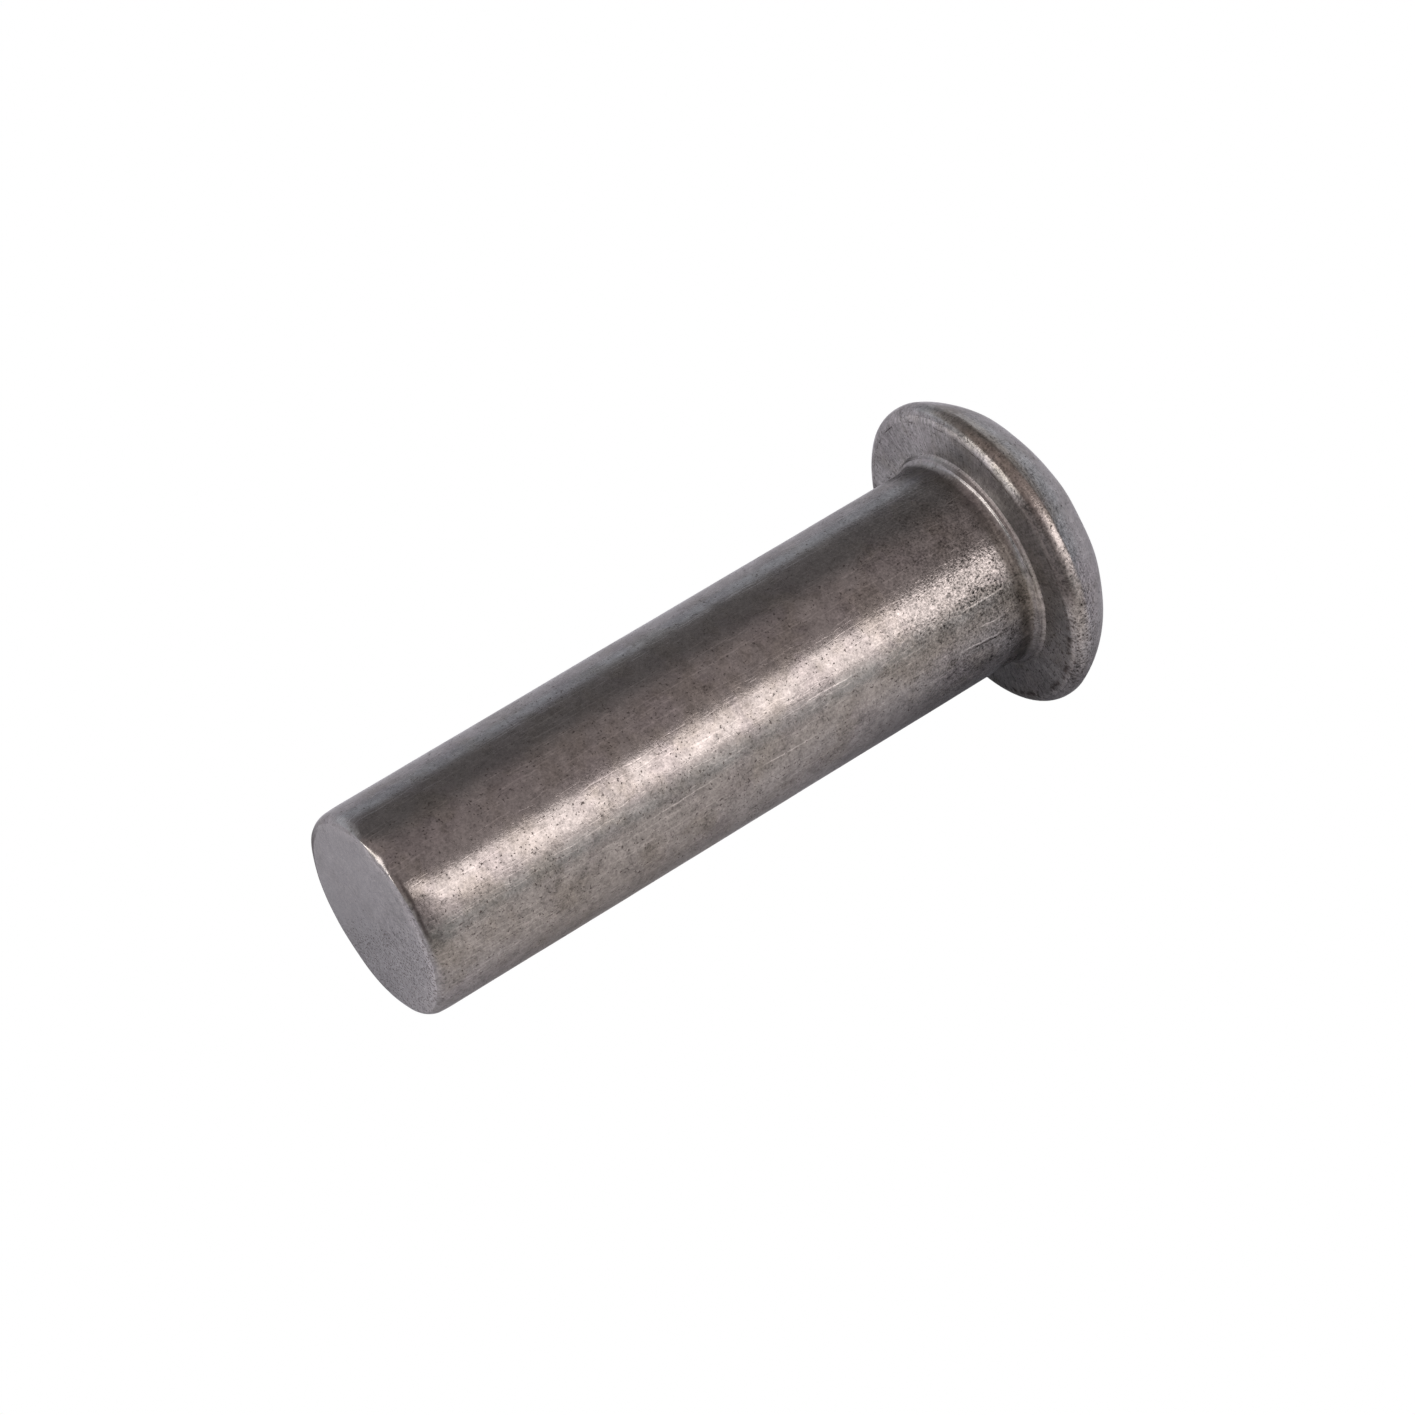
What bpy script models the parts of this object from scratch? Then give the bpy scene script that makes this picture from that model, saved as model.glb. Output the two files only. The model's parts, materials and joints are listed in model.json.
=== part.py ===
"""Solid round-head rivet, cold forged from one piece of plain steel.

The rivet stands on its cut tail: the origin is the centre of the tail face, and +Z runs up the
shank to the head. One profile, from the crown of the head down to the middle of the tail face,
is turned about Z. Every round stretch of it is an arc that runs smoothly into the next one.
Lengths are in metres.
"""

import math

import bmesh
import bpy

MM = 0.001

# Shank
SHANK_DIAMETER = 12.0 * MM
SHANK_LENGTH = 40.0 * MM  # tail face to the bearing face under the head
TAIL_EDGE_RADIUS = 0.85 * MM

# Head
HEAD_OVERHANG = 3.15 * MM  # how far the head reaches past the shank all round
HEAD_HEIGHT = 5.1 * MM  # bearing face to the top of the crown
RIM_RADIUS = 0.72 * MM
RIM_WRAP = math.radians(68.5)  # tilt from the axis at which the rim runs into the shoulder
SHOULDER_RADIUS = 5.1 * MM
SHOULDER_ROOM = 0.9  # most of the room under the crown that a large shoulder may take

# Ring that the forging die leaves where the shank meets the head
FLARE_HEIGHT = 0.8 * MM
FLARE_ANGLE = math.radians(48.0)
RIDGE_RADIUS = 0.25 * MM
RIDGE_DEPTH = 0.24 * MM  # crest of the ridge below the bearing face
SEAT_FILLET = 0.1 * MM
LEDGE_WIDTH = 0.22 * MM
LEDGE_DEPTH = 0.08 * MM

# Fineness of the turned surface
TURN_STEPS = 80
ARC_TOLERANCE = 0.006 * MM  # most that a straight piece of an arc cuts inside it
MERGE_DISTANCE = 0.001 * MM

# Directions that a surface can face, as its tilt from the upward axis
UP = 0.0
OUTWARD = math.radians(90.0)
DOWN = math.radians(180.0)

# Colour of the bare forged steel, in linear light
STEEL_COLOUR = (0.235, 0.222, 0.216, 1.0)
STEEL_ROUGHNESS = 0.42


def arc(centre, radius, start, end):
    """Points (radius, height) of an arc whose surface tilts from start to end.

    A positive radius bulges out of the metal and a negative one curves into it.
    """
    chord_angle = 2 * math.acos(1 - min(1.0, ARC_TOLERANCE / abs(radius)))
    pieces = max(2, math.ceil(abs(end - start) / chord_angle))
    points = []
    for i in range(pieces + 1):
        tilt = start + (end - start) * i / pieces
        points.append((centre[0] + radius * math.sin(tilt), centre[1] + radius * math.cos(tilt)))
    return points


def arc_from(point, radius, start, end):
    """The same arc, placed so that it begins at the given point."""
    centre = (point[0] - radius * math.sin(start), point[1] - radius * math.cos(start))
    return arc(centre, radius, start, end)


def shoulder_radius(head_radius):
    """The shoulder's radius, kept small enough for the crown to close above it."""
    under_crown = HEAD_HEIGHT - RIM_RADIUS * (1 + math.cos(RIM_WRAP))
    room_upward = under_crown / (1 - math.cos(RIM_WRAP))
    room_inward = RIM_RADIUS + (head_radius - RIM_RADIUS) / math.sin(RIM_WRAP)
    return min(SHOULDER_RADIUS, SHOULDER_ROOM * min(room_upward, room_inward))


def head_profile():
    """Crown, shoulder and rim, from the top of the head to the outer edge of the bearing face.

    The crown is the one arc, centred on the axis, that touches the shoulder and reaches the
    head's full height.
    """
    head_radius = SHANK_DIAMETER / 2 + HEAD_OVERHANG
    top = SHANK_LENGTH + HEAD_HEIGHT
    rim_centre = (head_radius - RIM_RADIUS, SHANK_LENGTH + RIM_RADIUS)
    shoulder = shoulder_radius(head_radius)
    inset = shoulder - RIM_RADIUS
    shoulder_centre = (
        rim_centre[0] - inset * math.sin(RIM_WRAP),
        rim_centre[1] - inset * math.cos(RIM_WRAP),
    )
    drop = shoulder_centre[1] - top
    crown = (shoulder**2 - drop**2 - shoulder_centre[0] ** 2) / (2 * (drop + shoulder))
    crown_edge = math.atan2(shoulder_centre[0], drop + crown)
    points = arc((0.0, top - crown), crown, UP, crown_edge)
    points += arc(shoulder_centre, shoulder, crown_edge, RIM_WRAP)[1:]
    points += arc(rim_centre, RIM_RADIUS, RIM_WRAP, OUTWARD)[1:]
    points += arc(rim_centre, RIM_RADIUS, OUTWARD, DOWN)[1:]
    return points


def ring_profile():
    """The die's ring, from the bearing face in to the shank: ledge, seat fillet, ridge, flare."""
    flare_rise = FLARE_HEIGHT * math.tan(FLARE_ANGLE / 2)
    ridge_rise = RIDGE_RADIUS * (1 - math.cos(FLARE_ANGLE))
    crest = SHANK_DIAMETER / 2 + flare_rise + ridge_rise
    ledge_bend = LEDGE_DEPTH / 2
    ledge_edge = crest + SEAT_FILLET + LEDGE_WIDTH
    underside = OUTWARD + FLARE_ANGLE

    points = arc_from((ledge_edge + 2 * ledge_bend, SHANK_LENGTH), -ledge_bend, DOWN, OUTWARD)
    points += arc_from(points[-1], ledge_bend, OUTWARD, DOWN)[1:]
    seat = (crest + SEAT_FILLET, SHANK_LENGTH - LEDGE_DEPTH)
    points += arc_from(seat, -SEAT_FILLET, DOWN, OUTWARD)
    points += arc_from((crest, SHANK_LENGTH - RIDGE_DEPTH), RIDGE_RADIUS, OUTWARD, underside)
    flare_radius = FLARE_HEIGHT / math.sin(FLARE_ANGLE)
    points += arc_from(points[-1], -flare_radius, underside, OUTWARD)[1:]
    return points


def tail_profile():
    """The rounded edge of the cut tail and its flat face, in to the axis."""
    centre = (SHANK_DIAMETER / 2 - TAIL_EDGE_RADIUS, TAIL_EDGE_RADIUS)
    return arc(centre, TAIL_EDGE_RADIUS, OUTWARD, DOWN) + [(0.0, 0.0)]


def forged_steel():
    """Bare forged steel: grey metal with a satin surface."""
    material = bpy.data.materials.new("forged_steel")
    material.use_nodes = True
    surface = material.node_tree.nodes["Principled BSDF"]
    surface.inputs["Base Color"].default_value = STEEL_COLOUR
    surface.inputs["Metallic"].default_value = 1.0
    surface.inputs["Roughness"].default_value = STEEL_ROUGHNESS
    return material


def profile_mesh(points):
    """A chain of edges through the profile's points, in the XZ plane on the +X side."""
    mesh = bpy.data.meshes.new("rivet")
    chain = bmesh.new()
    corners = [chain.verts.new((radius, 0.0, height)) for radius, height in points]
    for above, below in zip(corners, corners[1:]):
        chain.edges.new((above, below))
    chain.to_mesh(mesh)
    chain.free()
    return mesh


def turn(piece):
    """Turns the piece's profile once about Z into a closed solid."""
    screw = piece.modifiers.new("turned", "SCREW")
    screw.axis = "Z"
    screw.angle = math.radians(360.0)
    screw.steps = TURN_STEPS
    screw.render_steps = TURN_STEPS
    screw.use_merge_vertices = True
    screw.merge_threshold = MERGE_DISTANCE
    screw.use_smooth_shade = True


def make_rivet(collection):
    """The whole rivet: head, die ring, shank and tail are one forged piece."""
    mesh = profile_mesh(head_profile() + ring_profile() + tail_profile())
    mesh.materials.append(forged_steel())
    rivet = bpy.data.objects.new("rivet", mesh)
    collection.objects.link(rivet)
    turn(rivet)
    return rivet


def main():
    for old in list(bpy.data.objects):
        bpy.data.objects.remove(old, do_unlink=True)
    collection = bpy.data.collections.new("rivet")
    bpy.context.scene.collection.children.link(collection)
    make_rivet(collection)


if __name__ == "__main__":
    main()
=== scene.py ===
"""Looks of a solid round-head rivet: its worn surface, its bare forged steel, and the stage.

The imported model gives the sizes. The rivet is turned again here as one finer mesh with the marks of
forging and handling in it, and stands in for the plain one. Lengths are in metres unless a name
says mm. The rivet stands on its cut tail, with +Z up the shank to the head.
"""

import json
import math
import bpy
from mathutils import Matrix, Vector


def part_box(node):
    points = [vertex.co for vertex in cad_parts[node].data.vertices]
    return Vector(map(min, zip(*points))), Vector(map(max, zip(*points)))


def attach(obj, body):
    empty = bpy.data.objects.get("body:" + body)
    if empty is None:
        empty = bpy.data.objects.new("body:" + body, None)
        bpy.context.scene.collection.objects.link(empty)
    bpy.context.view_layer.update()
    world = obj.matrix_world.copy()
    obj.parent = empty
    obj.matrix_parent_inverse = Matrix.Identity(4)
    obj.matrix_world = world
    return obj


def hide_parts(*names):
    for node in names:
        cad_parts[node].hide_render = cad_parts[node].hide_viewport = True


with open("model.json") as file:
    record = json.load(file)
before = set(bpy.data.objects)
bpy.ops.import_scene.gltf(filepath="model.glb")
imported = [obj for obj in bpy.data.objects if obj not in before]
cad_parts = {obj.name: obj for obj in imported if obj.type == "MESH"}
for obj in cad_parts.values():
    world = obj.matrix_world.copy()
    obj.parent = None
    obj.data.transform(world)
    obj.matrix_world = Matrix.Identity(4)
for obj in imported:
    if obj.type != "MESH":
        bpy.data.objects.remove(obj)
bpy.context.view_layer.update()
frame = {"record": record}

from types import SimpleNamespace

import bpy
from bpy.props import FloatProperty, FloatVectorProperty, IntProperty, PointerProperty
from mathutils import Matrix, Vector, noise

bl_info = {
    "name": "Forged Rivet",
    "version": (1, 0, 0),
    "blender": (4, 5, 0),
    "location": "View3D > Sidebar > Rivet",
    "description": "Makes a cold-forged round-head rivet and the stage that it is shown on",
    "category": "Object",
}

MM = 0.001

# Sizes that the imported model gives
NODE = "rivet"
NODE_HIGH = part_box(NODE)[1]
MOUNTS = {mount["name"]: mount for mount in frame["record"]["mounts"]}
TOP = NODE_HIGH.z
HEAD_RADIUS = NODE_HIGH.x
SEAT_HEIGHT = MOUNTS["under_head_face"]["pos_m"][2]

# Head. The rim is rolled a little flat where it met the die: each of its arcs runs from the last
# tilt to this one, with this share of the rim's radius
RIM_ARCS = (
    (math.radians(155.0), 0.8), (math.radians(141.0), 1.9), (math.radians(112.0), 0.6),
    (math.radians(84.0), 1.4), (math.radians(68.5), 0.8),
)
SHOULDER_RADIUS = 5.1 * MM

# Where one of the rim's arcs is dented flatter, and which one
DENT_BEARING = math.radians(279.0)
DENTED_ARC = 3

# Shallow flat on the rim's outline, and how deep it is
FLAT_BEARING = math.radians(282.0)
FLAT_DEPTH = 0.1 * MM

# Ring that the die left where the shank meets the head, as the worn one is: a flare of two arcs, a
# ridge, a crease and a slope up to the bearing face
FLARE_DROP = 0.84 * MM
FLARE_ARCS = ((0.7 * MM, math.radians(130.0)), (0.35 * MM, math.radians(153.0)))
RIDGE_RADIUS = 0.12 * MM
RIDGE_TILT = math.radians(110.0)
CREASE_RADIUS = 0.04 * MM
SLOPE_TILT = math.radians(124.0)
SLOPE_FILLET = 0.015 * MM

# Groove between the bearing face and the rim, and where it is deepest
GROOVE_RADIUS = HEAD_RADIUS * 0.921
GROOVE_DEPTH = 0.022 * MM
GROOVE_WIDTH = 0.07 * MM
GROOVE_BEARING = math.radians(345.0)

# Share of the shank's length above which the mesh's rows lie closer together
CLOSE_ROWS_FROM = 0.72

# Edge of the cut tail: where the shank tapers most into it, where it glints, and the tilts at which
# its crisp middle arc starts and ends
TAPER_BEARING = math.radians(287.0)
GLINT_BEARING = math.radians(245.0)
TAIL_TILTS = (math.radians(126.0), math.radians(150.0))

# The side to which the specks on the cut tail keep
SPECKLED_BEARING = math.radians(13.0)

# Sides of the rivet with marks of their own. Each is a bearing, and the cosines of the angles from
# it at which the mark starts and is full. First where handling has etched the steel, where it
# sparkles beside the head, and where the rim is pitted
ETCHED_SIDE = (math.radians(318.0), 0.0, 1.0)
SPARKLING_SIDE = (math.radians(279.0), 0.95, 0.985)
PITTED_SIDE = (math.radians(325.0), 0.88, 0.96)

# Where dirt is thickest behind the die ring, and where it lies on the rim and beside the crown
DIRTY_SIDE = (math.radians(298.0), 0.6, 0.9)
RIM_DIRT_SIDE = (math.radians(282.0), 0.9, 0.96)
STAIN_SIDE = (math.radians(238.0), 0.8, 0.93)
SMUDGE_SIDE = (math.radians(271.0), 0.92, 0.97)

# Where a reflection of the lit shank is painted on the face under the head, where that face is
# lighter further round, where it is dull, and where dirt fills the groove round it
PAINTED_REFLECTION_SIDE = (math.radians(247.0), 0.4, 0.85)
FAR_LIGHTER_SIDE = (math.radians(325.0), 0.85, 0.95)
DULLED_SIDE = (math.radians(217.0), 0.95, 0.99)
GROOVE_SIDE = (GROOVE_BEARING, -0.3, 1.0)

# Where a dark reflection is painted along the tail's edge, where painted shade lies over its taper,
# and where a dark line rims it
PAINTED_EDGE_REFLECTION_SIDE = (math.radians(277.0), 0.92, 0.98)
TAPER_SIDE = (TAPER_BEARING, 0.95, 0.985)
FAR_EDGE_SIDE = (math.radians(110.0), 0.3, 0.7)

# Bands of height with marks of their own: where each starts, is full, begins to end and has ended
NECK_BAND = (28.0 * MM, 36.5 * MM, 38.3 * MM, 39.0 * MM)
FLARE_BAND = (38.75 * MM, 39.2 * MM, 39.6 * MM, 39.72 * MM)
RIM_BAND = (39.9 * MM, 40.1 * MM, 41.4 * MM, 42.4 * MM)
LOW_RIM_BAND = (39.9 * MM, 40.1 * MM, 40.35 * MM, 40.6 * MM)
RIM_DIRT_BAND = (39.9 * MM, 40.1 * MM, 40.45 * MM, 40.85 * MM)
STAIN_BAND = (40.3 * MM, 40.55 * MM, 41.35 * MM, 41.75 * MM)
SMUDGE_BAND = (41.15 * MM, 41.4 * MM, 43.1 * MM, 43.5 * MM)

# Heights of the crease beside the ring's ridge, and of the dark reflection painted along the tail's
# edge
CREASE_HEIGHT = 39.8 * MM
PAINTED_EDGE_REFLECTION_HEIGHT = 0.54 * MM

# Heights between which the tone changes: up the shank to the head, down from the ring, and up the
# dome
HEAD_FADE = (30.0 * MM, 37.0 * MM)
RING_FADE = (39.9 * MM, 39.3 * MM)
DOME_FADE = (41.0 * MM, 42.0 * MM)

# Sizes of the steel's patterns. The patches come out 2 to 4 mm across, and the ragged and blotchy
# noise moves the edges of dirt by up to its depth
PATCH_SIZE = 2.6 * MM
BLOTCH_DEPTH = 2.4 * MM
RAGGED_SIZE = 0.7 * MM
RAGGED_DEPTH = 0.3 * MM
GRAIN_SIZE = 0.9 * MM
FINE_GRAIN_SIZE = 0.125 * MM
SPECK_SIZE = 0.14 * MM
PIT_SIZE = 0.42 * MM
RUB_WIDTH = 0.22 * MM
SCORE_LENGTH = 1.1 * MM
HAIRLINE_WIDTH = 0.1 * MM
HAIRLINE_LENGTH = 7.0 * MM
BUMP_DEPTH = 0.007 * MM

# Single scratches: bearing and height at each end, half width, and how bright rather than dark
SCRATCHES = [
    (math.radians(start), low * MM, math.radians(end), high * MM, half * MM, gloss)
    for start, low, end, high, half, gloss in (
        (291.0, 34.9, 292.4, 38.5, 0.09, 1.0),
        (293.6, 35.6, 295.0, 38.3, 0.07, 0.3),
        (313.6, 34.6, 316.9, 38.1, 0.09, 0.0),
        (312.0, 34.2, 315.0, 37.8, 0.06, 1.0),
        (303.5, 35.6, 306.0, 37.6, 0.06, 1.0),
        (297.0, 29.5, 296.4, 34.0, 0.05, 0.8),
        (289.4, 24.2, 290.0, 28.5, 0.06, 1.0),
        (300.5, 13.5, 299.5, 19.0, 0.05, 0.9),
        (308.0, 20.5, 309.2, 25.5, 0.05, 0.9),
    )
]

# Directions that a surface can face, as its tilt from the upward axis
UP = 0.0
OUTWARD = math.radians(90.0)
DOWN = math.radians(180.0)

# Where the photograph was taken from
CAMERA_PLACE = Vector((-0.44, -258.05, -83.02)) * MM
CAMERA_PITCH = math.radians(22.18)
CAMERA_ROLL = math.radians(58.99)
CAMERA_LENS_MM = 132.65
CAMERA_TURN = (
    Matrix.Rotation(math.radians(90.0) + CAMERA_PITCH, 3, "X") @ Matrix.Rotation(CAMERA_ROLL, 3, "Z")
)
PHOTO_RIGHT, PHOTO_UP, PHOTO_BACK = CAMERA_TURN.col

# The white paper beside the rivet, which it lay on in the photograph: it touches the tail's edge
# and the rim at this angle round the rivet
PAPER_BEARING = math.radians(51.95)
PAPER_LEAN = math.radians(4.52)

# Paper, measured from where it touches the rim: where its painted warm light begins, going right and
# going down in the photo, and the middle and the reach of the painted shadow beside the rivet
WARM_RIGHT = (-34.0 * MM, -14.0 * MM)
WARM_DOWN = (-3.0 * MM, -28.0 * MM)
PAINTED_SHADOW_MIDDLE = (3.0 * MM, -2.0 * MM, 0.0)
PAINTED_SHADOW_REACH = (4.0 * MM, 18.0 * MM)

# Half widths of the floor and the paper, and how far out the floor starts to fade and is gone
FLOOR_HALF = 3.0
FLOOR_FADE = (0.15, 1.2)
PAPER_HALF = 1.5

# How far off the soft lights are, and the place and size of the one over the floor
LIGHT_DISTANCE = 0.6
OVERHEAD_PLACE = (0.2, 0.3, 1.0)
OVERHEAD_SIZE = 1.2

# Bright stretches of the room behind the rivet, as seen from it: bearing right of the camera, rise,
# reach and brightness
WALL_GLOWS = (
    (math.radians(144.0), math.radians(38.0), math.radians(50.0), 0.42),
    (math.radians(-108.0), math.radians(34.0), math.radians(30.0), 0.4),
)


def linear(hex_colour):
    """An sRGB colour such as "8A8580" as linear red, green and blue."""
    channels = [int(hex_colour[i:i + 2], 16) / 255 for i in (0, 2, 4)]
    return [c / 12.92 if c <= 0.04045 else ((c + 0.055) / 1.055) ** 2.4 for c in channels]


class RivetSizes(bpy.types.PropertyGroup):
    """Sizes of the rivet that its user would change."""

    shank_diameter: FloatProperty(
        name="Shank diameter", description="Thickness of the shank", default=12.0 * MM, unit="LENGTH",
    )
    rim_radius: FloatProperty(
        name="Rim radius", description="Rounding of the head's rolled rim", default=0.72 * MM,
        unit="LENGTH",
    )
    tail_edge: FloatProperty(
        name="Tail edge", description="Rounding of the edge of the cut tail", default=0.85 * MM,
        unit="LENGTH",
    )
    unevenness: FloatProperty(
        name="Unevenness", description="How far the forged surface strays from a true turning",
        default=0.018 * MM, unit="LENGTH",
    )
    columns: IntProperty(
        name="Columns", description="Steps of the mesh round the rivet", default=384, min=24,
    )


class SteelLook(bpy.types.PropertyGroup):
    """Colours of the bare forged steel."""

    steel: FloatVectorProperty(
        name="Steel", description="Clean forged steel", subtype="COLOR", default=linear("888685"),
    )
    film: FloatVectorProperty(
        name="Oil film", description="Steel under a thin film of oil", subtype="COLOR",
        default=linear("807D7D"),
    )
    oxide: FloatVectorProperty(
        name="Oxide film", description="Steel under a thin brown film of oil and oxide",
        subtype="COLOR", default=linear("7E7B78"),
    )
    pit: FloatVectorProperty(
        name="Pits", description="Dirt in the pits", subtype="COLOR", default=linear("3A3433"),
    )
    rust: FloatVectorProperty(
        name="Rust tint", description="Thin brown tint on the rim and beside the die ring",
        subtype="COLOR", default=linear("665D50"),
    )
    roughness: FloatProperty(
        name="Roughness", description="Roughness of the clean satin surface", default=0.2,
        min=0.0, max=1.0, subtype="FACTOR",
    )


class StageLook(bpy.types.PropertyGroup):
    """Light and floor of the stage."""

    floor: FloatVectorProperty(
        name="Floor", description="Pale floor", subtype="COLOR", default=linear("E9E9EA"),
    )
    # The paper colours paint in light: bluish behind the rivet, and warm in front where the key light
    # falls. The world takes them too
    cool_paper: FloatVectorProperty(
        name="Far paper", description="White paper behind the rivet", subtype="COLOR",
        default=linear("E2E6F0"),
    )
    warm_paper: FloatVectorProperty(
        name="Near paper", description="White paper in front of the rivet", subtype="COLOR",
        default=linear("E0DEDB"),
    )
    far_room: FloatVectorProperty(
        name="Far room", description="Dim room behind the rivet", subtype="COLOR",
        default=linear("8E8989"),
    )
    near_room: FloatVectorProperty(
        name="Near room", description="Dim warm room in front of the rivet", subtype="COLOR",
        default=linear("D1C2C0"),
    )
    paper_glow: FloatProperty(
        name="Paper glow", description="Light that the paper gets from the studio around it",
        default=0.1, min=0.0,
    )
    key: FloatVectorProperty(
        name="Key light", description="Colour of the soft light at the right", subtype="COLOR",
        default=linear("FFF3EE"),
    )
    key_strength: FloatProperty(
        name="Key strength", description="Brightness of the soft light at the right", default=3.0,
        min=0.0,
    )
    side: FloatVectorProperty(
        name="Side light", description="Colour of the soft light at the left", subtype="COLOR",
        default=linear("FFF8F2"),
    )
    side_strength: FloatProperty(
        name="Side strength", description="Brightness of the soft light at the left", default=4.5,
        min=0.0,
    )
    fill: FloatVectorProperty(
        name="Fill light", description="Colour of the daylight on the paper", subtype="COLOR",
        default=linear("ECF3FF"),
    )
    floor_strength: FloatProperty(
        name="Floor light", description="Brightness of the overhead light on the floor", default=1.0,
        min=0.0,
    )


def new_material(name):
    """A new material with its node tree and its surface shader."""
    material = bpy.data.materials.new(name)
    material.use_nodes = True
    return material, material.node_tree, material.node_tree.nodes["Principled BSDF"]


def add(tree, kind, inputs=(), **settings):
    """Adds a node with its settings, and sets or links its inputs, each given as (socket, value)."""
    node = tree.nodes.new(kind)
    for name, value in settings.items():
        setattr(node, name, value)
    for socket, value in inputs:
        if isinstance(value, bpy.types.NodeSocket):
            tree.links.new(value, node.inputs[socket])
        else:
            node.inputs[socket].default_value = value
    return node


def level(bearing):
    """The level direction with a bearing round the rivet."""
    return Vector((math.cos(bearing), math.sin(bearing), 0.0))


def arc(centre, radius, start, end, rows):
    """Points (radius, height) of an arc whose surface tilts from start to end."""
    tilts = [start + (end - start) * i / rows for i in range(rows + 1)]
    return [(centre[0] + radius * math.sin(t), centre[1] + radius * math.cos(t)) for t in tilts]


def arc_from(point, radius, start, end, rows):
    """The same arc, placed so that it begins at the given point."""
    centre = (point[0] - radius * math.sin(start), point[1] - radius * math.cos(start))
    return arc(centre, radius, start, end, rows)


def run(start, end, rows):
    """Points of a straight stretch, without its first point."""
    steps = [i / rows for i in range(1, rows + 1)]
    return [tuple(a + (b - a) * s for a, b in zip(start, end)) for s in steps]


def head_profile(rim, flats, flat_depth):
    """Crown, shoulder and rim, from the top of the head to the outer edge of the bearing face."""
    edge = [(0.0, SEAT_HEIGHT)]
    tilt = DOWN
    for (next_tilt, share), flat in zip(RIM_ARCS, flats):
        edge += arc_from(edge[-1], rim * share * flat, tilt, next_tilt, 6)[1:]
        tilt = next_tilt
    shift = HEAD_RADIUS - flat_depth - max(r for r, z in edge)
    edge = [(r + shift, z) for r, z in reversed(edge)]
    shoulder_centre = (
        edge[0][0] - SHOULDER_RADIUS * math.sin(tilt),
        edge[0][1] - SHOULDER_RADIUS * math.cos(tilt),
    )
    drop = shoulder_centre[1] - TOP
    crown = (SHOULDER_RADIUS**2 - drop**2 - shoulder_centre[0] ** 2) / (2 * (drop + SHOULDER_RADIUS))
    crown_edge = math.atan2(shoulder_centre[0], drop + crown)
    points = arc((0.0, TOP - crown), crown, UP, crown_edge, 20)[1:]
    points += arc(shoulder_centre, SHOULDER_RADIUS, crown_edge, tilt, 16)[1:]
    return points + edge[1:]


def ring_profile(shank, sag, bulge):
    """The die's ring, from the bearing face in to the shank: slope, crease, ridge, flare.

    It hangs lower by sag, and its two arcs are wider by bulge.
    """
    points = [(shank, SEAT_HEIGHT - FLARE_DROP - sag)]
    tilt = OUTWARD
    for radius, next_tilt in FLARE_ARCS:
        points += arc_from(points[-1], -radius * bulge, tilt, next_tilt, 7)[1:]
        tilt = next_tilt
    points += arc_from(points[-1], RIDGE_RADIUS, tilt, RIDGE_TILT, 6)[1:]
    points += arc_from(points[-1], -CREASE_RADIUS, RIDGE_TILT, SLOPE_TILT, 3)[1:]
    climb = SEAT_HEIGHT - SLOPE_FILLET * (1 + math.cos(SLOPE_TILT)) - points[-1][1]
    foot = (points[-1][0] - climb / math.tan(SLOPE_TILT), points[-1][1] + climb)
    points += run(points[-1], foot, 3)
    points += arc_from(foot, -SLOPE_FILLET, SLOPE_TILT, DOWN, 4)[1:]
    return points[::-1]


def tail_profile(shank, edge, taper, crisp):
    """The rounded edge of the cut tail, from the shank in to the flat face.

    It starts as a gentle taper, down to the given tilt, and its middle arc is crisp.
    """
    points = [(shank, 0.0)]
    tilt = OUTWARD
    for next_tilt, share in (
        (taper, 11.0), (TAIL_TILTS[0], 1.05), (TAIL_TILTS[1], crisp), (DOWN, 1.3),
    ):
        points += arc_from(points[-1], edge * share, tilt, next_tilt, 5)[1:]
        tilt = next_tilt
    return [(r, z - points[-1][1]) for r, z in points]


def wave(angle, waves, seed):
    """Smooth noise from -1 to 1 round the rivet, with about that many waves in a turn."""
    reach = waves / math.tau
    return noise.noise(Vector((reach * math.cos(angle), reach * math.sin(angle), seed)))


def nearness(angle, middle, reach):
    """How near an angle is to a middle one: 1 there, and almost nothing at twice its reach."""
    return math.exp(-((math.remainder(angle - middle, math.tau) / reach) ** 2))


def crispness(angle):
    """How wide the middle arc of the tail's edge is: it is narrow but for the spot that glints."""
    return 0.2 + 0.06 * wave(angle, 40, 2.9) + 0.7 * nearness(angle, GLINT_BEARING, 0.12)


def edge_share(angle):
    """How round the cut tail's edge is at an angle: it is dented flat beside its brightest spot."""
    share = 1 + 0.18 * wave(angle, 5, 8.6) + 0.1 * wave(angle, 17, 5.2)
    for beside in (-0.24, 0.3):
        share -= 0.35 * nearness(angle, GLINT_BEARING + beside, 0.18)
    return share


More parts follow.
